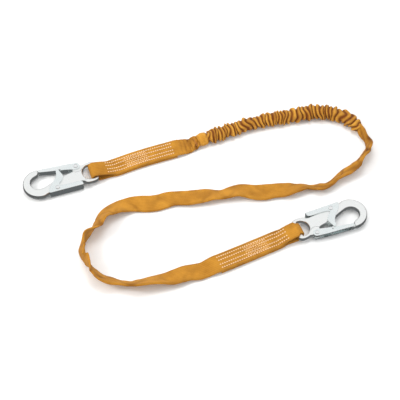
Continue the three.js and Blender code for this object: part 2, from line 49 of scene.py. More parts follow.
# ------------------------------------------------------------------ route of the webbing (mm)
SHIFT = np.array([1.42, -4.45, 0.0])
STRAP_WIDTH, STRAP_THICK, LOOP_THICK = 35.0, 4.2, 2.8
LOOP_HALF_WIDTH, LOOP_MID_RADIUS, HOOK_Z, BAR_OFFSET = 15.1, 7.6, 9.3, -0.5
TAIL_LENGTH, GATHER_START, GATHER_END = 152.0, 199.0, 512.0
HOOKS = {"harness": ((-187.2, 54.6), 198.1), "anchor": ((167.6, -71.6), 22.2)}
STEP = 17.942
ROUTE = np.array([
    -187.2, 54.6, 0, 35, -170.4, 59.7, 0, 35, -153.8, 66.2, 0, 35, -137.1, 73.6, 0, 35,
    -120.4, 81.1, 0, 35, -103.7, 87.9, 0, 34.9, -87, 94.1, 0, 35, -70.2, 100, 0, 35,
    -53.5, 105.8, 0, 35, -36.7, 111.7, 0, 34.9, -20, 117.7, 0, 33, -3.2, 123.9, 3, 28.1,
    13.5, 130.4, 3, 20.8, 30.3, 137.2, 2, 20, 47, 144.3, 2, 21.2, 63.8, 151.3, 1, 20.6,
    80.6, 157.9, 0, 19.2, 97.5, 163.9, -1, 20.2, 114.5, 168.8, -2, 20.1, 131.6, 172.7, -2, 18.9,
    148.9, 176.2, -3, 18, 166.3, 180.2, -2, 19.4, 184, 184.7, -2, 21.7, 201.9, 188.2, -1, 24.5,
    220, 189, 1, 23.7, 237.7, 186.8, 6, 22.1, 254.5, 181.1, 13, 20.9, 269.6, 171.9, 20, 19.6,
    282.6, 159.6, 27, 18, 292.7, 144.4, 45, 19.6, 299.1, 127.3, 56, 29.6, 300.5, 109.7, 71, 34.7,
    295.9, 92.8, 70, 35, 286.5, 77.4, 48, 35, 274.1, 64.2, 40, 35, 260.4, 53, 41, 35,
    245.8, 42.4, 45, 34.7, 230.3, 32.2, 37, 35, 214.1, 24.6, 36, 35, 197.2, 21.3, 33, 34.9,
    179.9, 20.4, 28, 35, 162.2, 19.4, 18, 35, 144.2, 18.4, 8, 35, 126.1, 17.1, 5, 34.8,
    107.9, 15.8, 3, 35, 89.8, 14.2, 7, 35, 71.8, 12.6, 16, 35, 53.9, 10.7, 23, 35,
    36.1, 8.8, 21, 35, 18.3, 6.7, 19, 35, 0.6, 4.5, 14, 34.8, -17.1, 2.2, 8, 34.5,
    -34.8, -0.2, 4, 34.3, -52.5, -2.6, 1, 34.5, -70.2, -5.1, -1, 34.8, -87.9, -7.7, 0, 34.8,
    -105.6, -10.3, 3, 35, -123.1, -13.9, 8, 35, -139.7, -19.9, 17, 35, -154.8, -29.8, 29, 35,
    -167.9, -42.8, 43, 35, -178.4, -57.6, 59, 35, -186.3, -73, 76, 35, -194.5, -88.9, 89, 35,
    -200.1, -105.6, 74, 34.5, -198.3, -122.7, 81, 35, -191, -139.2, 96, 35, -180.2, -153.8, 122, 35,
    -166.6, -166, 132, 35, -151, -174.8, 142, 35, -134, -179.3, 138, 35, -116.3, -178.8, 133, 34.8,
    -98.5, -176, 137, 35, -80.8, -172.7, 143, 35, -63.2, -168.8, 152, 35, -45.8, -164.3, 163, 35,
    -28.6, -159.2, 170, 35, -11.7, -153.4, 176, 34.9, 5, -147.1, 180, 34.8, 21.6, -140.3, 180, 34.8,
    38, -133.1, 180, 35, 54.2, -125.5, 180, 35, 70.4, -117.7, 180, 34.9, 86.5, -109.8, 180, 35,
    102.6, -101.8, 180, 35, 118.7, -93.9, 180, 34.5, 134.8, -86.1, 180, 34.5, 151.1, -78.5, 180, 35,
    167.6, -71.6, 180, 35], float).reshape(-1, 4)
LAST = len(ROUTE) - 1
L = STEP * LAST
UP = np.array([0.0, 0.0, 1.0])


def route(s):
    t = min(max(s / STEP, 0.0), LAST)
    i = min(int(t), LAST - 1)
    f = t - i
    p0, p1, p2, p3 = (ROUTE[min(max(k, 0), LAST)] for k in (i - 1, i, i + 1, i + 2))
    return p1 + 0.5 * f * (p2 - p0 + f * (2 * p0 - 5 * p1 + 4 * p2 - p3 + f * (3 * (p1 - p2) + p3 - p0)))


def ease(t):
    u = min(max(t, 0.0), 1.0)
    return u * u * (3 - 2 * u)


def pick(table, x):
    if x <= table[0][0]:
        return table[0][1]
    for (x0, y0), (x1, y1) in zip(table, table[1:]):
        if x <= x1:
            return y0 + (y1 - y0) * ease((x - x0) / (x1 - x0))
    return table[-1][1]


UPPER = [(0.5, HOOK_Z + LOOP_MID_RADIUS), (42, 6.6), (TAIL_LENGTH + 2, 6.6), (TAIL_LENGTH + 26, 2.1)]
HALF_T = [(2, LOOP_THICK / 2), (30, STRAP_THICK / 2)]


def unit(v):
    return v / np.linalg.norm(v)


def station(s, lower=False):
    x, y, roll, w = route(s)
    pa, pb = route(s - 0.5), route(s + 0.5)
    t = unit(np.array([pb[0] - pa[0], pb[1] - pa[1], 0.0]))
    n = np.array([-t[1], t[0], 0.0])
    phi = math.radians(roll)
    d = min(s, L - s)
    b = pick(HALF_T, d)
    z = (w / 2) * abs(math.sin(phi)) + b * abs(math.cos(phi))
    if d < TAIL_LENGTH + 26:
        z = max(b, pick([(0.5, HOOK_Z - LOOP_MID_RADIUS), (24, b)], d)) if lower else pick(UPPER, d)
    A = n * math.cos(phi) + UP * math.sin(phi)
    a = pick([(24, LOOP_HALF_WIDTH), (40, STRAP_WIDTH / 2)], d) if d < 60 else min(w, STRAP_WIDTH) / 2
    return dict(c=np.array([x, y, z]) + SHIFT, A=A, a=a, b=b, s=s, d=d, lower=lower)


def stations(s0, s1, step, lower=False):
    n = max(1, round(abs(s1 - s0) / step))
    return [station(s0 + (s1 - s0) * i / n, lower) for i in range(n + 1)]


def wrap(end):
    (bx, by), angle = HOOKS[end]
    h = math.radians(angle)
    u = np.array([math.cos(h), math.sin(h), 0.0])
    n = np.array([u[1], -u[0], 0.0])
    out = []
    for a in np.arange(-84, 84.1, 7):
        r = math.radians(a)
        c = np.array([bx, by, HOOK_Z]) + SHIFT + u * (BAR_OFFSET + LOOP_MID_RADIUS * math.cos(r))
        c[2] += LOOP_MID_RADIUS * math.sin(r)
        out.append(dict(c=c, A=n, a=LOOP_HALF_WIDTH, b=LOOP_THICK / 2, s=0.0, d=0.0, lower=None))
    return out


def frames(list_):
    n = len(list_) - 1
    for i, q in enumerate(list_):
        T = unit(list_[min(i + 1, n)]["c"] - list_[max(i - 1, 0)]["c"])
        A = unit(q["A"] - T * float(q["A"] @ T))
        q["T"], q["An"], q["B"] = T, A, unit(np.cross(T, A))
    return list_


def wob(x, seed=0.0):
    """Smooth repeatable noise in -1..1."""
    return (np.sin(x * 1.0 + seed * 1.7) + 0.6 * np.sin(x * 2.17 + seed * 3.1 + 1.3) + 0.35 * np.sin(x * 4.33 + seed * 5.3 + 0.4)) / 1.95


def wob2(x, y, seed=0.0):
    return (np.sin(x + 0.7 * y + seed) + np.sin(1.9 * y - 0.8 * x + 2.1 * seed + 1.0) + 0.6 * np.sin(2.7 * x + 1.3 * y + 0.7 * seed + 2.0)) / 2.6


# ------------------------------------------------------------------ mesh helpers
def mesh_object(name, verts, faces, material, uvs=None, shade=None, smooth=True):
    me = bpy.data.meshes.new(name)
    me.from_pydata([tuple(v) for v in verts], [], faces)
    me.materials.append(material)
    if uvs is not None:
        layer = me.uv_layers.new(name="UVMap")
        idx = np.empty(len(me.loops), int)
        me.loops.foreach_get("vertex_index", idx)
        flat = np.asarray(uvs, np.float32)[idx]
        layer.data.foreach_set("uv", flat.ravel())
    if shade is not None:
        # per-vertex painted shade (folds, creases, buckles, edges, seams) with a random mottle
        at = me.attributes.new("painted_shade_and_mottle", "FLOAT", "POINT")
        at.data.foreach_set("value", np.asarray(shade, np.float32))
    if smooth:
        me.polygons.foreach_set("use_smooth", [True] * len(me.polygons))
    me.validate()
    ob = bpy.data.objects.new(name, me)
    bpy.context.scene.collection.objects.link(ob)
    return ob


def loft(name, rings, material, uvs, shade):
    """A closed tube through rings of equal point count, capped at both ends."""
    n, m = len(rings), len(rings[0])
    verts = np.concatenate(rings) * MM
    faces = []
    for i in range(n - 1):
        for j in range(m):
            k = (j + 1) % m
            faces.append((i * m + j, i * m + k, (i + 1) * m + k, (i + 1) * m + j))
    faces.append(tuple(range(m - 1, -1, -1)))
    faces.append(tuple((n - 1) * m + j for j in range(m)))
    return mesh_object(name, verts, faces, material, np.concatenate(uvs), np.concatenate(shade))


def stadium(nf=16, ne=5):
    """Section of a flattened tube: (position across -1..1 of the flat, edge angle) pairs going round."""
    pts = []
    for i in range(nf):
        pts.append((-1 + 2 * i / nf, None, 1))           # top, left to right
    for i in range(ne):
        pts.append((1, math.pi / 2 - math.pi * i / ne, 0))
    for i in range(nf):
        pts.append((1 - 2 * i / nf, None, -1))           # bottom, right to left
    for i in range(ne):
        pts.append((-1, -math.pi / 2 - math.pi * i / ne, 0))
    return pts


SECTION = stadium()


def strap_ring(q, lift, puff_top, puff_bottom, squeeze=1.0):
    """Ring of points for one station. lift(x) moves the whole strap, puff moves one face."""
    a, b = q["a"] * squeeze, q["b"]
    flat = a - b
    ring, us = [], []
    for f, e, side in SECTION:
        if e is None:
            x, y = f * flat, b * side
        else:
            x, y = f * flat + b * math.cos(e), b * math.sin(e)
        xn = x / q["a"]
        y += lift(xn)
        if side > 0:
            y += puff_top(xn)
        elif side < 0:
            y -= puff_bottom(xn)
        ring.append(q["c"] + q["An"] * x + q["B"] * y)
        us.append(x + (0 if side > 0 else 60 if side < 0 else 0))
    ring = np.array(ring)
    ring[:, 2] = np.maximum(ring[:, 2], 0.15)
    return ring, us


# ------------------------------------------------------------------ materials
def nodes_of(mat):
    mat.use_nodes = True
    nt = mat.node_tree
    bsdf = next(n for n in nt.nodes if n.type == "BSDF_PRINCIPLED")
    return nt, bsdf


def fabric(name, base, dark, light, shade_and_mottle_strength=0.55, weave=1.0, rib=1.7, rough=0.82):
    mat = bpy.data.materials.new(name)
    nt, bsdf = nodes_of(mat)
    N, K = nt.nodes, nt.links

    def math_node(op, a, b=None):
        m = N.new("ShaderNodeMath"); m.operation = op
        for i, v in enumerate((a, b)):
            if v is None:
                continue
            if isinstance(v, (int, float)):
                m.inputs[i].default_value = v
            else:
                K.new(v, m.inputs[i])
        return m.outputs[0]

    uv = N.new("ShaderNodeTexCoord").outputs["UV"]
    sep = N.new("ShaderNodeSeparateXYZ"); K.new(uv, sep.inputs[0])
    u, v = sep.outputs[0], sep.outputs[1]          # mm across, mm along
    # herringbone: diagonal picks that turn over at every rib
    zig = math_node("PINGPONG", u, rib)
    diag = math_node("ADD", v, math_node("MULTIPLY", zig, 1.15))
    pick_ = math_node("SINE", math_node("MULTIPLY", diag, 2 * math.pi / 1.5))
    ribs = math_node("COSINE", math_node("MULTIPLY", u, math.pi / rib))
    yarn = math_node("ADD", math_node("MULTIPLY", pick_, 0.6), math_node("MULTIPLY", ribs, 0.5))
    fine = N.new("ShaderNodeTexNoise"); fine.inputs["Scale"].default_value = 2600; fine.inputs["Detail"].default_value = 3
    obj = N.new("ShaderNodeTexCoord").outputs["Object"]
    K.new(obj, fine.inputs["Vector"])
    height = math_node("ADD", math_node("MULTIPLY", yarn, 0.5), math_node("MULTIPLY", fine.outputs["Fac"], 0.8))

    wide = N.new("ShaderNodeTexNoise"); wide.inputs["Scale"].default_value = 34; wide.inputs["Detail"].default_value = 4
    wide.inputs["Roughness"].default_value = 0.6
    K.new(obj, wide.inputs["Vector"])
    ramp = N.new("ShaderNodeValToRGB"); K.new(wide.outputs["Fac"], ramp.inputs["Fac"])
    ramp.color_ramp.elements[0].position, ramp.color_ramp.elements[1].position = 0.33, 0.66
    ramp.color_ramp.elements[0].color = (*[b * 0.68 + d * 0.32 for b, d in zip(base, dark)], 1)
    ramp.color_ramp.elements[1].color = (*[b * 0.70 + l * 0.30 for b, l in zip(base, light)], 1)
    # thread colour with painted highlight and shade of the weave: crowns of the yarns are painted lighter, the gaps
    # painted darker
    mix1 = N.new("ShaderNodeMix"); mix1.data_type = "RGBA"; mix1.blend_type = "MIX"
    K.new(math_node("MULTIPLY_ADD", yarn, 0.16), mix1.inputs["Factor"])
    mix1.inputs["Factor"].default_value = 0.2
    fac = mix1.inputs["Factor"].links[0].from_node
    fac.inputs[2].default_value = 0.16
    K.new(ramp.outputs["Color"], mix1.inputs["A"])
    mix1.inputs["B"].default_value = (*light, 1)
    # painted shade: the per-vertex attribute darkens folds, creases, buckles, edges and seams towards the dark colour,
    # along with a random mottle
    at = N.new("ShaderNodeAttribute"); at.attribute_name = "painted_shade_and_mottle"
    mix2 = N.new("ShaderNodeMix"); mix2.data_type = "RGBA"
    shade = math_node("MULTIPLY", at.outputs["Fac"], shade_and_mottle_strength)
    K.new(shade, mix2.inputs["Factor"])
    K.new(mix1.outputs["Result"], mix2.inputs["A"])
    mix2.inputs["B"].default_value = (*dark, 1)
    K.new(mix2.outputs["Result"], bsdf.inputs["Base Color"])
    bump = N.new("ShaderNodeBump"); bump.inputs["Strength"].default_value = 0.75 * weave
    bump.inputs["Distance"].default_value = 0.00035
    K.new(height, bump.inputs["Height"]); K.new(bump.outputs["Normal"], bsdf.inputs["Normal"])
    rr = math_node("MULTIPLY_ADD", wide.outputs["Fac"], 0.18)
    rr.node.inputs[2].default_value = rough - 0.09
    K.new(rr, bsdf.inputs["Roughness"])
    bsdf.inputs["Sheen Weight"].default_value = 0.07
    bsdf.inputs["Sheen Roughness"].default_value = 0.45
    bsdf.inputs["Sheen Tint"].default_value = (1.0, 0.86, 0.62, 1)
    bsdf.inputs["Specular IOR Level"].default_value = 0.32
    return mat


def thread_mat(name, base, dark):
    mat = bpy.data.materials.new(name)
    nt, bsdf = nodes_of(mat)
    N, K = nt.nodes, nt.links
    obj = N.new("ShaderNodeTexCoord").outputs["Object"]
    wave = N.new("ShaderNodeTexWave"); wave.inputs["Scale"].default_value = 900; wave.inputs["Distortion"].default_value = 2.0
    wave.bands_direction = "DIAGONAL"
    K.new(obj, wave.inputs["Vector"])
    noise = N.new("ShaderNodeTexNoise"); noise.inputs["Scale"].default_value = 260; K.new(obj, noise.inputs["Vector"])
    mix = N.new("ShaderNodeMix"); mix.data_type = "RGBA"
    K.new(noise.outputs["Fac"], mix.inputs["Factor"])
    mix.inputs["A"].default_value = (*base, 1); mix.inputs["B"].default_value = (*dark, 1)
    K.new(mix.outputs["Result"], bsdf.inputs["Base Color"])
    bump = N.new("ShaderNodeBump"); bump.inputs["Strength"].default_value = 0.5; bump.inputs["Distance"].default_value = 0.0001
    K.new(wave.outputs["Fac"], bump.inputs["Height"]); K.new(bump.outputs["Normal"], bsdf.inputs["Normal"])
    bsdf.inputs["Roughness"].default_value = 0.55
    bsdf.inputs["Sheen Weight"].default_value = 0.25
    return mat


def steel(name, base, tint, rough, grain=900, bump_d=0.00004, streak=False, edge_lightening=0.5):
    mat = bpy.data.materials.new(name)
    nt, bsdf = nodes_of(mat)
    N, K = nt.nodes, nt.links
    obj = N.new("ShaderNodeTexCoord").outputs["Object"]
    cloud = N.new("ShaderNodeTexNoise"); cloud.inputs["Scale"].default_value = 75; cloud.inputs["Detail"].default_value = 5
    K.new(obj, cloud.inputs["Vector"])
    fine = N.new("ShaderNodeTexNoise"); fine.inputs["Scale"].default_value = grain; fine.inputs["Detail"].default_value = 3
    if streak:
        mp = N.new("ShaderNodeMapping"); mp.inputs["Scale"].default_value = (1, 1, 0.08)
        K.new(obj, mp.inputs["Vector"]); K.new(mp.outputs[0], fine.inputs["Vector"])
    else:
        K.new(obj, fine.inputs["Vector"])
    geo = N.new("ShaderNodeNewGeometry")
    # convex edges (high pointiness) are mixed towards a lighter colour
    edge = N.new("ShaderNodeValToRGB"); K.new(geo.outputs["Pointiness"], edge.inputs["Fac"])
    edge.color_ramp.elements[0].position, edge.color_ramp.elements[1].position = 0.44, 0.56
    edge.color_ramp.elements[0].color = (0, 0, 0, 1); edge.color_ramp.elements[1].color = (1, 1, 1, 1)
    mixc = N.new("ShaderNodeMix"); mixc.data_type = "RGBA"
    K.new(cloud.outputs["Fac"], mixc.inputs["Factor"])
    mixc.inputs["A"].default_value = (*base, 1); mixc.inputs["B"].default_value = (*tint, 1)
    mixe = N.new("ShaderNodeMix"); mixe.data_type = "RGBA"
    k = N.new("ShaderNodeMath"); k.operation = "MULTIPLY"; k.inputs[1].default_value = edge_lightening
    K.new(edge.outputs["Color"], k.inputs[0]); K.new(k.outputs[0], mixe.inputs["Factor"])
    K.new(mixc.outputs["Result"], mixe.inputs["A"]); mixe.inputs["B"].default_value = (0.95, 0.955, 0.95, 1)
    K.new(mixe.outputs["Result"], bsdf.inputs["Base Color"])
    r = N.new("ShaderNodeMapRange"); K.new(cloud.outputs["Fac"], r.inputs["Value"])
    r.inputs["From Min"].default_value, r.inputs["From Max"].default_value = 0.3, 0.7
    r.inputs["To Min"].default_value, r.inputs["To Max"].default_value = rough * 0.8, rough * 1.3
    K.new(r.outputs[0], bsdf.inputs["Roughness"])
    bump = N.new("ShaderNodeBump"); bump.inputs["Strength"].default_value = 0.5; bump.inputs["Distance"].default_value = bump_d
    K.new(fine.outputs["Fac"], bump.inputs["Height"]); K.new(bump.outputs["Normal"], bsdf.inputs["Normal"])
    bsdf.inputs["Metallic"].default_value = 1.0
    return mat


# BROWN is the dark end of the random tone and the painted shade colour; PALE is the light end of the random tone and
# the painted highlight on the yarn crowns
ORANGE, BROWN, PALE = (0.465, 0.184, 0.009), (0.12, 0.030, 0.001), (0.77, 0.38, 0.055)
M_WEB = fabric("webbing_weave", ORANGE, BROWN, PALE, shade_and_mottle_strength=0.85)
M_JACKET = fabric("jacket_weave", (0.69, 0.285, 0.014), (0.15, 0.030, 0.002), (0.97, 0.56, 0.11), shade_and_mottle_strength=0.95, weave=1.0, rib=1.4)
M_CORE = fabric("core_weave", (0.78, 0.75, 0.66), (0.5, 0.46, 0.36), (0.9, 0.88, 0.8), shade_and_mottle_strength=0.3)
M_THREAD = thread_mat("sewing_thread", (0.92, 0.66, 0.40), (0.86, 0.52, 0.26))
M_TACK = thread_mat("tack_thread", (0.50, 0.20, 0.03), (0.36, 0.12, 0.012))
M_FORGED = steel("zinc_forging", (0.86, 0.875, 0.86), (0.95, 0.955, 0.94), 0.30, grain=1100, bump_d=0.00006)
M_SHEET = steel("zinc_pressing", (0.66, 0.745, 0.75), (0.88, 0.915, 0.91), 0.20, grain=1500, bump_d=0.00002, streak=True)
M_RIVET = steel("zinc_rivet", (0.74, 0.76, 0.765), (0.84, 0.85, 0.85), 0.24, grain=1400, bump_d=0.00002)
M_WIRE = steel("spring_wire", (0.42, 0.43, 0.44), (0.55, 0.55, 0.54), 0.3, grain=1800, bump_d=0.00002)

# ------------------------------------------------------------------ camera, light, floor
target = Vector((0.00142, -0.00445, 0.0))
cam = bpy.data.objects.new("camera", bpy.data.cameras.new("camera"))
bpy.context.scene.collection.objects.link(cam)
cam.data.lens, cam.data.sensor_width = 133.3, 36.0
cam.data.clip_start, cam.data.clip_end = 0.05, 20
cam.location = target + Vector((0, -1.4913, 2.1298))
cam.rotation_euler = (target - cam.location).to_track_quat("-Z", "Y").to_euler()
bpy.context.scene.camera = cam


def area_light(name, loc, aim, size, watts, colour=(1, 1, 1)):
    data = bpy.data.lights.new(name, "AREA")
    data.shape, data.size, data.energy, data.color = "DISK", size, watts, colour
    ob = bpy.data.objects.new(name, data)
    bpy.context.scene.collection.objects.link(ob)
    ob.location = loc
    ob.rotation_euler = (Vector(aim) - Vector(loc)).to_track_quat("-Z", "Y").to_euler()
    ob.visible_glossy = False
    return ob


area_light("softbox_top", (0.1, 0.7, 2.1), (0, 0, 0), 1.1, 14.5)
area_light("softbox_left", (-1.5, -0.2, 1.3), (0, 0, 0), 0.6, 14, (1, 0.985, 0.96))
area_light("softbox_right", (1.6, -0.5, 1.0), (0, 0, 0), 0.9, 2.5, (0.96, 0.98, 1))

world = bpy.data.worlds.new("studio")
bpy.context.scene.world = world
world.use_nodes = True
wn, wl = world.node_tree.nodes, world.node_tree.links
bg = next(n for n in wn if n.type == "BACKGROUND")
tc = wn.new("ShaderNodeTexCoord")
sp = wn.new("ShaderNodeSeparateXYZ"); wl.new(tc.outputs["Generated"], sp.inputs[0])
rp = wn.new("ShaderNodeValToRGB"); wl.new(sp.outputs["Z"], rp.inputs["Fac"])
rp.color_ramp.elements[0].position, rp.color_ramp.elements[0].color = 0.0, (0.20, 0.22, 0.225, 1)
rp.color_ramp.elements[1].position, rp.color_ramp.elements[1].color = 1.0, (0.86, 0.87, 0.87, 1)
for at_, v in ((0.12, 0.10), (0.30, 0.035), (0.47, 0.03), (0.53, 0.13), (0.63, 0.46), (0.78, 0.83)):
    e = rp.color_ramp.elements.new(at_); e.color = (v, v * 1.01, v * 1.02, 1)
up01 = wn.new("ShaderNodeMath"); up01.operation = "MULTIPLY_ADD"
wl.new(sp.outputs["Z"], up01.inputs[0]); up01.inputs[1].default_value = 0.5; up01.inputs[2].default_value = 0.5
wl.new(up01.outputs[0], rp.inputs["Fac"])
wl.new(rp.outputs["Color"], bg.inputs["Color"])
bg.inputs["Strength"].default_value = 1.12

fm = bpy.data.materials.new("pale_floor")
nt, fb = nodes_of(fm)
fb.inputs["Base Color"].default_value = (0.93, 0.93, 0.925, 1)
fb.inputs["Roughness"].default_value = 0.95
fb.inputs["Specular IOR Level"].default_value = 0.1
# a round floor whose far rim curves up, so low views see no edge
rim, turn = [(4.0, 0.0), (9.0, 0.0), (10.2, 0.12), (11.2, 0.5), (12.0, 1.15), (12.6, 2.1), (12.9, 3.2), (13.0, 4.6)], 64
fv = [(0.0, 0.0, -0.0004)] + [(r * math.cos(2 * math.pi * k / turn), r * math.sin(2 * math.pi * k / turn), z - 0.0004) for r, z in rim for k in range(turn)]
ff = [(0, 1 + k, 1 + (k + 1) % turn) for k in range(turn)]
for i in range(len(rim) - 1):
    for k in range(turn):
        a_, b_ = 1 + i * turn + k, 1 + i * turn + (k + 1) % turn
        ff.append((a_, a_ + turn, b_ + turn, b_))
floor = mesh_object("floor", fv, ff, fm, smooth=True)
floor.visible_glossy = False
bpy.context.scene.view_settings.view_transform = "Standard"

# ------------------------------------------------------------------ webbing
ROWS = (-11.0, -4.2, 4.2, 11.0)
SEWN = {"harness": (23.0, 149.0), "anchor": (21.0, 149.0)}


# Creases and folds of the free webbing: distance along the route, reach, depth (mm), slant across.
CREASES = [(156, 5, 0.8, 5), (168, 4, 1.2, -6), (179, 4, 1.5, 5), (188, 3.5, 1.6, -4), (196, 3.5, 1.8, 4),
           (541, 5, 1.6, 6), (553, 4, 1.9, -7), (566, 5, 2.0, 8), (580, 4, 1.6, -6), (596, 5, 2.0, 9), (612, 5, 1.4, -8), (640, 6, 1.5, 10),
           (668, 6, 1.2, -9), (694, 6, 1.9, 9), (704, 5, 1.5, -8), (742, 7, 0.9, 8), (790, 8, 0.8, -12), (840, 7, 1.2, 8), (864, 7, 1.6, -6),
           (884, 8, 0.9, 12), (931, 7, 0.8, -10), (979, 8, 0.9, 11), (1020, 6, 1.2, -9), (1048, 6, 1.3, 8), (1072, 5, 1.6, -7), (1092, 5, 1.9, 8),
           (1112, 5, 1.2, -6), (1150, 5, 1.4, 7), (1176, 4, 1.8, -8), (1198, 4, 1.9, 7), (1228, 6, 1.2, -9), (1262, 7, 1.5, 10), (1290, 7, 1.0, -9),
           (1330, 8, 0.9, 10), (1372, 8, 0.7, -10)]


def creased(s, x):
    """(depth in mm, painted shade) of the creases at a point of the webbing."""
    dep = dark = 0.0
    for s0, reach, depth, slant in CREASES:
        g = (s - s0 - slant * x - 2.0 * math.sin(3 * x + s0)) / reach
        if abs(g) < 3.2:
            k = math.exp(-g * g) * (0.65 + 0.35 * math.sin(2.2 * x + s0 * 1.3))
            dep += depth * k
            # painted shade on one flank of each crease
            dark += 0.34 * depth * math.exp(-(g * 1.5 + 0.4) ** 2) * (0.6 + 0.4 * math.sin(2.2 * x + s0 * 1.3))
    return dep, dark


# how much of its width the free webbing shows, where it is bunched
ROPE = [(506, 0.74), (520, 0.84), (540, 0.56), (560, 0.80), (578, 0.86), (602, 0.84), (628, 0.80), (650, 0.62), (668, 0.60), (684, 0.80),
        (700, 0.62), (722, 0.80), (742, 1.0), (1232, 1.0), (1256, 0.70), (1270, 0.72), (1286, 1.0)]


def strap(name, end, list_, buckle=None):
    """The flattened tube of webbing along its stations, with its creases, puckers and buckles."""
    frames(list_)
    # stations rings
    rings, uvs, shade = [], [], []
    along = 0.0
    for i, q in enumerate(list_):
        if i:
            along += float(np.linalg.norm(q["c"] - list_[i - 1]["c"]))
        s, d = q["s"], q["d"]
        free = ease((d - 156) / 26)                      # 0 where sewn, 1 where free
        amp = 0.35 + 1.0 * free
        x0, x1 = SEWN[end]
        sewn = ease((d - x0 + 4) / 8) * ease((x1 + 4 - d) / 8) if q["lower"] is False else 0.0
        bk = buckle(s) if buckle else 0.0

        def lift(x, s=s, amp=amp, bk=bk, q=q):
            if q["lower"] is not False:
                return 0.0
            y = amp * 0.45 * float(wob2(s / 19.0, x * 1.1, 0.3))
            if free:
                y -= free * (creased(s, x)[0] - 0.5)
                if end == "anchor" and 505 < s < 730:
                    rp_ = ease((s - 508) / 16) * (1 - ease((s - 688) / 40))
                    y += rp_ * (3.4 * (1 - x * x) - 1.2 + 1.5 * math.sin(3.3 * x + s / 9.5) * (1 - 0.4 * x * x))
                # the upper edge turns in twice at the left bend
                y += 5.5 * max(0.0, x) ** 2 * math.exp(-((s - 1190) / 23) ** 2)
                y -= 6.5 * max(0.0, x) ** 2 * math.exp(-((s - 1104) / 16) ** 2)
                y += 3.0 * x * abs(x) * math.exp(-((s - 590) / 22) ** 2) - 3.0 * x * abs(x) * math.exp(-((s - 640) / 20) ** 2)
            if bk:
                ph = s / 8.6 + 0.16 * math.sin(2.2 * x + s / 17) + 0.1 * math.sin(s / 5.3)
                y += bk * (1.9 * abs(math.sin(math.pi * ph)) ** 0.8 - 0.5) * (0.75 + 0.35 * math.cos(2.4 * x + s / 9))
            return y

        def top(x, s=s, sewn=sewn, q=q):
            y = 0.25 * max(0.0, 1 - x * x)
            if sewn:
                sgn = 1
                for o in ROWS:
                    g = (x * q["a"] - o) / 1.5
                    y -= sewn * 0.55 * math.exp(-g * g)
                y += sewn * 0.16 * math.sin(2 * math.pi * s / 3.3)
            return y

        def bottom(x):
            return 0.1 * max(0.0, 1 - x * x)

        # the sewn face is the one that looks up
        up_is_b = q["B"][2] > 0
        waist = (pick(ROPE, s) if end == "anchor" else 1.0) - free * (0.035 + 0.05 * float(wob(s / 15.0, 1.0)) + 0.22 * math.exp(-((s - 862) / 15) ** 2) + 0.16 * math.exp(-((s - 700) / 20) ** 2))
        ring, us = strap_ring(q, (lift if up_is_b else (lambda x, f=lift: -f(x))), top if up_is_b else bottom, bottom if up_is_b else top, min(1.0, waist))
        # bunched webbing is narrower, so it settles until its lower edge is on the floor
        if end == "anchor" and q["lower"] is False:
            rest = ease((s - 522) / 40) * ease((d - 190) / 50)
            ring = np.array(ring)
            ring[:, 2] -= rest * (float(ring[:, 2].min()) - 0.4)
        rings.append(ring)
        uvs.append(np.array([[u_, along] for u_ in us]))
        # painted shade in the troughs of the buckles, along the rounded edges, in the sewn channels, in the creases and
        # in the ripple troughs, plus a random mottle
        col = []
        for (f, e, side) in SECTION:
            v = 0.10 if e is not None else 0.0
            if bk and e is None:
                ph = s / 8.6 + 0.16 * math.sin(2.2 * f + s / 17) + 0.1 * math.sin(s / 5.3)
                v += bk * 0.7 * (1 - abs(math.sin(math.pi * ph)) ** 0.6)
            if sewn and e is None:
                v += sewn * 0.35 * max(math.exp(-((f * (q["a"] - q["b"]) - o) / 1.3) ** 2) for o in ROWS)
            v += 0.30 * max(0.0, float(wob2(s / 13.0, f * 1.7, 2.2)))
            if free:
                # painted shade of the creases
                v += free * creased(s, f)[1]
                if end == "anchor" and 505 < s < 730:
                    # painted shade in the troughs of the rope-like ripple
                    v += ease((s - 508) / 16) * (1 - ease((s - 688) / 40)) * 0.5 * max(0.0, -math.sin(3.3 * f + s / 9.5))
            col.append(min(1.0, max(0.0, v)))
        shade.append(np.array(col))
    return loft(name, rings, M_WEB, uvs, shade), [q["c"] for q in list_]


h_list = (stations(TAIL_LENGTH, 4, 2.6, True) + wrap("harness") + stations(4, 36, 2.0) + stations(38, 206, 1.5))


def h_buckle(s):
    return ease((s - 146) / 40)


for q in h_list:
    if q["lower"] is False and q["s"] > 186:
        q["a"] *= 1 - 0.22 * ease((q["s"] - 186) / 20)
        q["c"] = q["c"] + UP * (5.6 * ease((q["s"] - 172) / 32))
harness_strap, _ = strap("harness_strap", "harness", h_list, h_buckle)
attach(harness_strap, "webbing_harness_end")
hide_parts("harness_webbing")


def a_buckle(s):
    return 0.55 * (1 - ease((s - 515) / 40)) + 0.35 * math.exp(-((s - 1090) / 22) ** 2) + 0.3 * math.exp(-((s - 590) / 16) ** 2)


a_list = (stations(507, L - 172, 2.4) + stations(L - 170, L - 38, 2.0) + stations(L - 36, L - 4, 2.0) + wrap("anchor")[::-1] + stations(L - 4, L - TAIL_LENGTH, 2.6, True))
for q in a_list:
    if q["lower"] is False and q["s"] < 532:
        q["c"] = q["c"] + UP * (4.0 * (1 - ease((q["s"] - 508) / 24)))
for q in a_list:
    if q["lower"] is False:
        sway = ease((q["s"] - 515) / 30) * ease((q["d"] - 165) / 40)
        side = unit(np.array([q["A"][0], q["A"][1], 0.0]))
        q["c"] = q["c"] + side * sway * (1.7 * math.sin(q["s"] / 17.0) + 1.2 * math.sin(q["s"] / 9.7 + 1.2))
anchor_strap, _ = strap("anchor_strap", "anchor", a_list, a_buckle)
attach(anchor_strap, "webbing_anchor_end")
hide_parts("anchor_webbing")


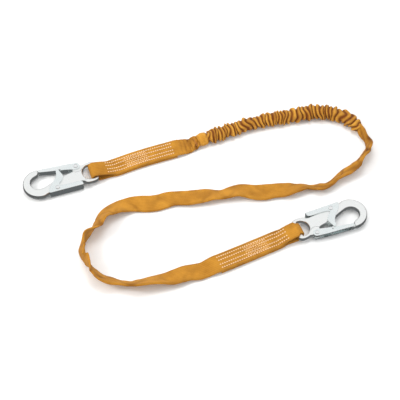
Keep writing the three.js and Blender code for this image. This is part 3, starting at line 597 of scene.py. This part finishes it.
# ------------------------------------------------------------------ gathered jacket
def jacket_mesh():
    s0, s1, n, m = GATHER_START - 2, GATHER_END + 2, 470, 60
    list_ = []
    for i in range(n + 1):
        s = s0 + (s1 - s0) * i / n
        q = station(s)
        q["c"][2] = 9.6
        q["A"] = np.array([q["A"][0], q["A"][1], 0.0])
        list_.append(q)
    frames(list_)
    rings, uvs, shade = [], [], []
    ph = 0.0
    prev = None
    for i, q in enumerate(list_):
        s = q["s"]
        # pitch of the gathers: tight, opening towards the anchor end
        pitch = 7.4 + 4.2 * float(wob(s / 15.0, 0.5)) + 3.0 * ease((s - 430) / 60)
        if prev is not None:
            ph += (s - prev) / pitch
        prev = s
        wide = 13.0 + 0.9 * float(wob(s / 24.0, 2.0)) + 1.7 * math.exp(-((s - 415) / 50) ** 2)
        high = 9.0 + 0.5 * float(wob(s / 17.0, 4.0)) + 1.3 * math.exp(-((s - 415) / 50) ** 2)
        env = 1.0
        calm = 1 - ease((s - 209) / 8)
        # collar, pinch, then the gathers; the far end draws in
        if s < 222:
            env = pick([(197, 0.80), (204, 0.98), (211, 0.94), (216, 0.70), (221, 1.02)], s)
        if s > 488:
            env = pick([(488, 1.0), (500, 0.92), (514, 0.70)], s)
        ring, col = [], []
        side = np.cross(UP, q["T"]); side = unit(side)
        for j in range(m):
            t = 2 * math.pi * j / m
            local = ph + 0.34 * math.sin(t + s * 0.045) + 0.22 * math.sin(2 * t - s * 0.051 + 1.1) + 0.12 * math.sin(3 * t + s * 0.12)
            k = math.floor(local)
            crest = 0.74 + 0.34 * math.sin(k * 2.399 + 1.7 * math.sin(t + k)) + 0.14 * math.sin(5 * t + k * 1.3)
            puff = abs(math.sin(math.pi * local)) ** 0.72
            rr = env * (0.83 + 0.22 * calm + (1 - calm) * (-0.12 + 0.45 * puff * crest))
            # flat bottom where it lies
            x, z = wide * math.cos(t) * rr, high * math.sin(t) * rr
            lean = 1.5 * puff * math.sin(t * 1.0 + k * 1.9)
            p = q["c"] + side * x + UP * z + q["T"] * lean
            p[2] = max(p[2], 0.3 + 0.2 * (1 - puff))
            ring.append(p)
            # painted shade in the grooves between gathers and on the lower crests, and a painted shadow over some whole
            # folds
            painted_fold_shadow = (1 - calm) * 0.30 * max(0.0, math.sin(k * 1.9 + 0.8 * math.sin(0.7 * k) + 0.5 * t))
            col.append(min(1.0, max(0.0, (1 - calm) * (1 - puff) ** 0.8 * 1.15 + 0.30 * (1 - crest) + painted_fold_shadow + 0.04)))
        rings.append(np.array(ring))
        uvs.append(np.array([[75.0 * j / m, s * 2.2] for j in range(m)]))
        shade.append(np.array(col))
    return loft("gathered_cover", rings, M_JACKET, uvs, shade)


jacket = jacket_mesh()
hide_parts("gathered_jacket")
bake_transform(jacket)


def core_mesh():
    list_ = []
    for i in range(121):
        q = station(214 + (501 - 214) * i / 120)
        q["c"][2] = 10.1
        q["A"] = np.array([q["A"][0], q["A"][1], 0.0])
        q["a"], q["b"], q["lower"] = 7.0 - 1.6 * max(0.0, 1 - (q["s"] - 214) / 12), 2.3, True
        list_.append(q)
    frames(list_)
    rings, uvs, shade = [], [], []
    for q in list_:
        ring, us = strap_ring(q, lambda x: 0.0, lambda x, s=q["s"]: 0.12 * math.sin(s / 2.2), lambda x: 0.0)
        rings.append(ring)
        uvs.append(np.array([[u_, q["s"]] for u_ in us]))
        shade.append(np.zeros(len(us)))
    return loft("core_web", rings, M_CORE, uvs, shade)


core = core_mesh()
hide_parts("absorber_core")
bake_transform(core)


# ------------------------------------------------------------------ stitching
def stitch_run(name, points, length=2.9, width=0.85, height=0.6, mat=None):
    """Thread stitches: one rounded, twisted grain of thread per stitch. points: (position, direction, normal)."""
    verts, faces = [], []
    for k, (p, d, nrm) in enumerate(points):
        side = unit(np.cross(nrm, d))
        base = len(verts)
        n, m = 5, 6
        for i in range(n + 1):
            f = -1 + 2 * i / n
            r = math.sqrt(max(0.0, 1 - (abs(f) ** 2.6))) + 0.12
            for j in range(m):
                t = 2 * math.pi * j / m + 0.5 * f
                verts.append((p + d * (f * length / 2) + side * (math.cos(t) * width * r) + nrm * (math.sin(t) * height * r - 0.25 * f * f)) * MM)
        for i in range(n):
            for j in range(m):
                a, b = base + i * m + j, base + i * m + (j + 1) % m
                faces.append((a, a + m, b + m, b))
        faces.append(tuple(base + j for j in range(m)))
        faces.append(tuple(base + n * m + j for j in range(m - 1, -1, -1)))
    return mesh_object(name, verts, faces, mat or M_THREAD)


def surface(end, d, off):
    """A point on the upper face of the sewn end, the direction along the seam and the face's normal."""
    s = d if end == "harness" else L - d
    q, q0, q1 = station(s), station(s - 1), station(s + 1)
    T = unit(q1["c"] - q0["c"])
    A = unit(np.array([-T[1], T[0], 0.0]))
    B = unit(np.cross(T, A))
    x = off / q["a"]
    y = q["b"] + 0.25 * max(0.0, 1 - x * x) + 0.157 * float(wob2(s / 19.0, x * 1.1, 0.3)) - 0.25
    return q["c"] + A * off + B * y, T, A, B


for end in ("harness", "anchor"):
    d0, d1 = SEWN[end]
    for i, off in enumerate(ROWS):
        pts, d = [], d0 + 0.7 * (i % 2)
        while d < d1:
            p, T, A, B = surface(end, d, min(off, 13) if d > 40 else off * 0.92)
            pts.append((p, T, B))
            d += 4.1
        ob = stitch_run(f"{end}_seam_{i + 1}", pts, length=3.3, width=1.15, height=0.7)
        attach(ob, f"webbing_{end}_end")
        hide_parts(f"{end}_stitch_row_{i + 1}")
    pts, d, k = [], 58.0, 0
    while d < 98:
        for blk in (-8.0, 0.0, 8.0):
            o0, o1 = (blk - 2.6, blk + 2.6) if k % 2 == 0 else (blk + 2.6, blk - 2.6)
            p0, T, A, B = surface(end, d, o0)
            p1, _, _, _ = surface(end, d + 3.0, o1)
            pts.append(((p0 + p1) / 2, unit(p1 - p0), B))
        d += 3.0
        k += 1
    ob = stitch_run(f"{end}_bartack", pts, length=5.8, width=0.5, height=0.45)
    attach(ob, f"webbing_{end}_end")
    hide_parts(f"{end}_stitch_zigzag")

# ------------------------------------------------------------------ hooks
PLAIN = {"hook_body": M_FORGED, "gate": M_SHEET, "lock_lever": M_SHEET, "gate_rivet": M_RIVET, "lock_rivet": M_RIVET,
         "gate_lock_pin": M_RIVET, "gate_spring": M_WIRE, "lock_spring": M_WIRE}


def finished(name, node, setup):
    """A finished copy of a CAD node with modifiers applied."""
    src = NODES[node]
    ob = bpy.data.objects.new(name, src.data.copy())
    bpy.context.scene.collection.objects.link(ob)
    ob.matrix_world = src.matrix_world.copy()
    bm = bmesh.new(); bm.from_mesh(ob.data)
    bmesh.ops.remove_doubles(bm, verts=bm.verts, dist=1e-6)
    bm.to_mesh(ob.data); bm.free()
    ob.data.polygons.foreach_set("use_smooth", [True] * len(ob.data.polygons))
    setup(ob)
    bpy.context.view_layer.update()
    dg = bpy.context.evaluated_depsgraph_get()
    me = bpy.data.meshes.new_from_object(ob.evaluated_get(dg))
    ob.modifiers.clear()
    ob.data = me
    return ob


def forge(ob):
    m = ob.modifiers.new("remesh", "REMESH"); m.mode = "VOXEL"; m.voxel_size = 0.0006; m.use_smooth_shade = True
    m = ob.modifiers.new("smooth", "SMOOTH"); m.factor, m.iterations = 0.5, 11


def press(ob):
    m = ob.modifiers.new("edges", "BEVEL"); m.width, m.segments, m.limit_method, m.angle_limit = 0.00038, 3, "ANGLE", math.radians(28)
    m.use_clamp_overlap = True
    m = ob.modifiers.new("even", "WEIGHTED_NORMAL"); m.mode, m.weight, m.keep_sharp = "FACE_AREA", 100, False


for end in ("harness", "anchor"):
    body = {"hook_body": f"{end}_hook", "gate": f"{end}_gate_assembly", "lock_lever": f"{end}_lock"}
    for part, how in (("hook_body", forge), ("gate", press), ("lock_lever", press)):
        ob = finished(f"{end}_{part}_finish", f"{end}_{part}", how)
        if how is forge:
            ob.data.polygons.foreach_set("use_smooth", [True] * len(ob.data.polygons))
        ob.data.materials.clear(); ob.data.materials.append(PLAIN[part])
        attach(ob, body[part])
        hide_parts(f"{end}_{part}")
    for part in ("gate_rivet", "lock_rivet", "gate_lock_pin", "gate_spring", "lock_spring"):
        node = NODES[f"{end}_{part}"]
        for sl in node.material_slots:
            sl.material = PLAIN[part]
        m = node.modifiers.new("soft", "BEVEL"); m.width, m.segments, m.limit_method, m.angle_limit = 0.0002, 2, "ANGLE", math.radians(35)

for end, s_t, half in (("harness", 192.0, 9.0), ("anchor", 531.0, 6.5)):
    q, q0, q1 = station(s_t), station(s_t - 1), station(s_t + 1)
    T = unit(q1["c"] - q0["c"])
    A = unit(q["A"] - T * float(q["A"] @ T))
    B = unit(np.cross(T, A))
    up = (5.6 * ease((s_t - 172) / 32)) if end == "harness" else 0.4
    pts = [(q["c"] + UP * up + A * o + B * (q["b"] + 0.3), unit(T + A * (0.35 if k_ % 2 else -0.35)), B) for k_, o in enumerate(np.arange(-half, half + 0.1, 1.6))]
    ob = stitch_run(f"absorber_bar_{end}", pts, length=4.4, width=0.6, height=0.5, mat=M_TACK)
    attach(ob, f"webbing_{end}_end")
    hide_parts(f"absorber_tack_{end}")
